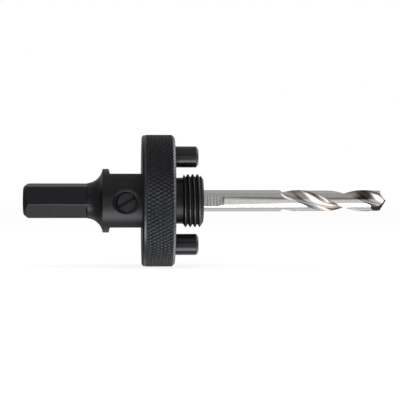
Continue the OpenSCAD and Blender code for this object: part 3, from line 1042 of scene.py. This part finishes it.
def makeCollar(sizes, knurl):
    values = dict(knurl)
    values["Rear"] = sizes["rearX"]
    values["Width"] = sizes["frontX"] - sizes["rearX"]
    values["Radius"] = sizes["radius"]
    values["Rear Chamfer"] = sizes["rearChamfer"]
    values["Front Chamfer"] = sizes["frontChamfer"]
    collar = grownPiece(emptyPiece("driveCollar"), knurlTree(collarSteel), values)
    tool = barPiece("collarBore", doubleD(sizes["boreRadius"], sizes["boreFlats"]),
                    (sizes["rearX"] - 1, sizes["frontX"] + 1))
    half = sizes["grooveWidth"] / 2
    combine(tool, turnedPiece("ringGroove", [
        (sizes["grooveX"] - half, 0),
        (sizes["grooveX"] - half, sizes["grooveRadius"]),
        (sizes["grooveX"] + half, sizes["grooveRadius"]),
        (sizes["grooveX"] + half, 0)], 128), "UNION")
    for side in (1, -1):
        combine(tool, turnedPiece("pinHole", [
            (sizes["frontX"] - sizes["pinHoleDepth"], 0),
            (sizes["frontX"] - sizes["pinHoleDepth"], sizes["pinHole"]),
            (sizes["frontX"] + 1, sizes["pinHole"]),
            (sizes["frontX"] + 1, 0)], 64, Matrix.Translation((0, 0, side * sizes["pinZ"] * mm))), "UNION")
    combine(collar, tool)
    finishMesh(collar, collarSteel, 20)
    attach(collar, "collar")
    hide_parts("drive_collar")


makeCollar(collarSizes, knurlSizes)


# Drive pins
pinSizes = {
    "frontX": 0.28,
    "reach": 7.22,
    "radius": 3.175,
    "z": 13.1,
    "tailRadius": 2.775,
    "tailLength": 5.78,
    "chamferLength": 0.65,
    "chamferDepth": 0.95,
}


def makePin(name, node, side, sizes):
    end = sizes["frontX"] + sizes["reach"]
    rear = sizes["frontX"] - sizes["tailLength"]
    pin = turnedPiece(name, softened([
        (rear, 0, 0),
        (rear, sizes["tailRadius"], 0.2),
        (sizes["frontX"], sizes["tailRadius"], 0),
        (sizes["frontX"], sizes["radius"], 0.05),
        (end - sizes["chamferLength"], sizes["radius"], 0.3),
        (end, sizes["radius"] - sizes["chamferDepth"], 0.3),
        (end, 0, 0)]), 128, Matrix.Translation((0, 0, side * sizes["z"] * mm)))
    finishMesh(pin, pinSteel)
    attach(pin, "collar")
    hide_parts(node)


makePin("drivePinUpper", "drive_pin_upper", 1, pinSizes)
makePin("drivePinLower", "drive_pin_lower", -1, pinSizes)


# Pilot drill
drillSizes = {
    "radius": 3.175,
    "rearX": -19.0,
    "tipX": 64.0,
    "rearChamfer": 0.4,
    "flatDepth": 0.4,
    "flatLength": 31.6,
    "flatRunout": 12.0,
    "flatTurn": 3.2,
}
fluteSizes = {
    "length": 32.0,
    "runout": 6.0,
    "lead": 39.5,
    "turn": 38.5,
    "webHalf": 0.55,
    "lipRadius": 5.0,
    "heelRadius": 1.75,
    "margin": 0.55,
    "landDrop": 0.12,
    "outside": 4.3,
}
pointSizes = {
    "angle": 118.0,
    "lipRelief": 11.0,
    "lipLean": 66.5,
    "heelFall": (-1.3, -0.95),  # how steeply the heel falls away, in Y and in Z
    "heelLift": 0.06,
}


def edgeAngle(arc, web, r):
    c = web + arc
    return math.acos((r * r + c * c - arc * arc) / (2 * r * c))


def fluteSection(drill, sizes):
    # Closed outline of what one flute and the cleared land behind it take away
    web, lip, heel = sizes["webHalf"], sizes["lipRadius"], sizes["heelRadius"]
    r, out = drill["radius"], sizes["outside"]
    low = r - sizes["landDrop"]
    path = []

    def arcPoint(arc, a):
        return (web + arc - arc * math.cos(a), arc * math.sin(a))

    lipEnd = math.radians(46)
    for k in range(15):
        path.append(arcPoint(lip, -lipEnd * (1 - k / 14)))
    c = web + heel
    edge = edgeAngle(heel, web, low)
    heelEnd = math.atan2(low * math.sin(edge), c - low * math.cos(edge))
    for k in range(1, 13):
        path.append(arcPoint(heel, heelEnd * k / 12))
    marginFrom = math.pi - edgeAngle(lip, web, r) - sizes["margin"] / r
    for k in range(1, 13):
        a = edge + (marginFrom - 0.02 - edge) * k / 12
        path.append((low * math.cos(a), low * math.sin(a)))
    path.append((out * math.cos(marginFrom), out * math.sin(marginFrom)))
    first = math.atan2(path[0][1], path[0][0])
    for k in range(1, 10):
        a = marginFrom + (first - marginFrom) * k / 10
        path.append((out * math.cos(a), out * math.sin(a)))
    return path


def fluteTree(steel):
    # Winds a straight bar round X, and lifts it out of the drill along its run-out
    sockets = {"Start": 32.0, "Tip": 64.0, "Runout": 6.0, "Depth": 2.625, "Lead": 39.5, "Turn": 45.0}
    tree, given = newTree("fluteTool", sockets)
    spot = addNode(tree, "GeometryNodeInputPosition").outputs[0]
    split = addNode(tree, "ShaderNodeSeparateXYZ", Vector=spot)
    x = maths(tree, "DIVIDE", split.outputs["X"], mm)
    past = maths(tree, "SUBTRACT", x, given["Start"])
    left = maths(tree, "MAXIMUM", maths(tree, "SUBTRACT", given["Runout"], past), 0.0)
    square = maths(tree, "MULTIPLY", given["Runout"], given["Runout"])
    wheel = maths(tree, "MULTIPLY_ADD", given["Depth"], given["Depth"], square)
    wheel = maths(tree, "DIVIDE", wheel, maths(tree, "MULTIPLY", given["Depth"], 2.0))
    side = maths(tree, "SUBTRACT", maths(tree, "MULTIPLY", wheel, wheel), maths(tree, "MULTIPLY", left, left))
    lift = maths(tree, "MULTIPLY", maths(tree, "SUBTRACT", wheel, maths(tree, "SQRT", side)), mm)
    flat = addNode(tree, "ShaderNodeCombineXYZ", Y=split.outputs["Y"], Z=split.outputs["Z"])
    size = addNode(tree, "ShaderNodeVectorMath", {"operation": "LENGTH"})
    feed(tree, flat.outputs[0], size.inputs[0])
    grow = maths(tree, "ADD", maths(tree, "DIVIDE", lift, size.outputs["Value"]), 1.0)
    spread = addNode(tree, "ShaderNodeVectorMath", {"operation": "SCALE"})
    feed(tree, flat.outputs[0], spread.inputs[0])
    feed(tree, grow, spread.inputs["Scale"])
    wound = maths(tree, "DIVIDE", maths(tree, "SUBTRACT", x, given["Tip"]), given["Lead"])
    angle = maths(tree, "MULTIPLY_ADD", wound, 360.0, given["Turn"])
    spin = addNode(tree, "ShaderNodeVectorRotate", {"rotation_type": "X_AXIS"})
    feed(tree, spread.outputs[0], spin.inputs["Vector"])
    feed(tree, maths(tree, "RADIANS", angle), spin.inputs["Angle"])
    back = addNode(tree, "ShaderNodeCombineXYZ", X=split.outputs["X"])
    total = addNode(tree, "ShaderNodeVectorMath", {"operation": "ADD"})
    feed(tree, spin.outputs[0], total.inputs[0])
    feed(tree, back.outputs[0], total.inputs[1])
    placed = addNode(tree, "GeometryNodeSetPosition", Geometry=given["Geometry"], Position=total.outputs[0])
    closeTree(tree, placed.outputs[0], steel)
    return tree


def pointBlank(drill, flute, sizes):
    # Everything behind the four ground faces of the point, two behind each lip
    slope = 1 / math.tan(math.radians(sizes["angle"] / 2))
    lipRise = math.tan(math.radians(sizes["lipRelief"]))
    mesh = bmesh.new()
    bmesh.ops.create_cube(mesh, size=1)
    box = Matrix.Diagonal((0.1, 0.012, 0.012, 1))
    bmesh.ops.transform(mesh, matrix=Matrix.Translation((0.022, 0, 0)) @ box, verts=mesh.verts)
    for half in (0, 180):
        a = math.radians(flute["turn"] - sizes["lipLean"] + half)
        lipFall = (slope * math.cos(a) + lipRise * math.sin(a), slope * math.sin(a) - lipRise * math.cos(a))
        side = 1 if half == 0 else -1
        heelFall = [side * part for part in sizes["heelFall"]]
        for height, way in ((0, lipFall), (sizes["heelLift"], heelFall)):
            fall = Vector((1, *way))
            cut = bmesh.ops.bisect_plane(
                mesh, geom=mesh.verts[:] + mesh.edges[:] + mesh.faces[:], dist=1e-7,
                plane_co=((drill["tipX"] + height) * mm, 0, 0), plane_no=fall.normalized(), clear_outer=True)
            rim = [part for part in cut["geom_cut"] if isinstance(part, bmesh.types.BMEdge)]
            bmesh.ops.contextual_create(mesh, geom=rim)
    return newPiece("pointBlank", mesh)


def makeDrill(drill, flute, point):
    r = drill["radius"]
    body = turnedPiece("pilotDrill", softened([
        (drill["rearX"], 0, 0),
        (drill["rearX"], r - drill["rearChamfer"], 0.08),
        (drill["rearX"] + drill["rearChamfer"], r, 0.08),
        (drill["tipX"] + 0.5, r, 0),
        (drill["tipX"] + 0.5, 0, 0)]), 144)

    # The flat that the set screw bears on, with its curved run-out
    depth = -r + drill["flatDepth"]
    end = drill["rearX"] + drill["flatLength"]
    reach = math.sqrt(drill["flatRunout"] ** 2 - (drill["flatRunout"] - drill["flatDepth"] - 0.3) ** 2)
    outline = [(drill["rearX"] - 1, -r - 1), (drill["rearX"] - 1, depth)]
    for k in range(13):
        x = reach * k / 12
        y = depth - drill["flatRunout"] + math.sqrt(drill["flatRunout"] ** 2 - x * x)
        outline.append((end + x, y))
    outline.append((end + reach, -r - 1))
    flat = barPiece("drillFlat", outline, (-5, 5), along="Y")
    flat.data.transform(Matrix.Rotation(math.radians(drill["flatTurn"] - 90), 4, "X"))
    combine(body, flat)

    tree = fluteTree(drillSteel)
    section = fluteSection(drill, flute)
    start = drill["tipX"] - flute["length"]
    for half in (0, 180):
        bar = barPiece("fluteTool", section, (start - 0.9, drill["tipX"] + 1.2), 100)
        combine(body, grownPiece(bar, tree, {
            "Start": start, "Tip": drill["tipX"], "Runout": flute["runout"],
            "Depth": r - flute["webHalf"], "Lead": flute["lead"], "Turn": flute["turn"] + half}))
    combine(body, pointBlank(drill, flute, point), "INTERSECT")
    finishMesh(body, drillSteel, 24)
    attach(body, "pilot")
    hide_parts("pilot_drill")


makeDrill(drillSizes, fluteSizes, pointSizes)


# Friction ring keeps the frame's own shape
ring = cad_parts["friction_ring"]
ring.data.materials.clear()
ring.data.materials.append(ringSteel)
print("friction ring painted")
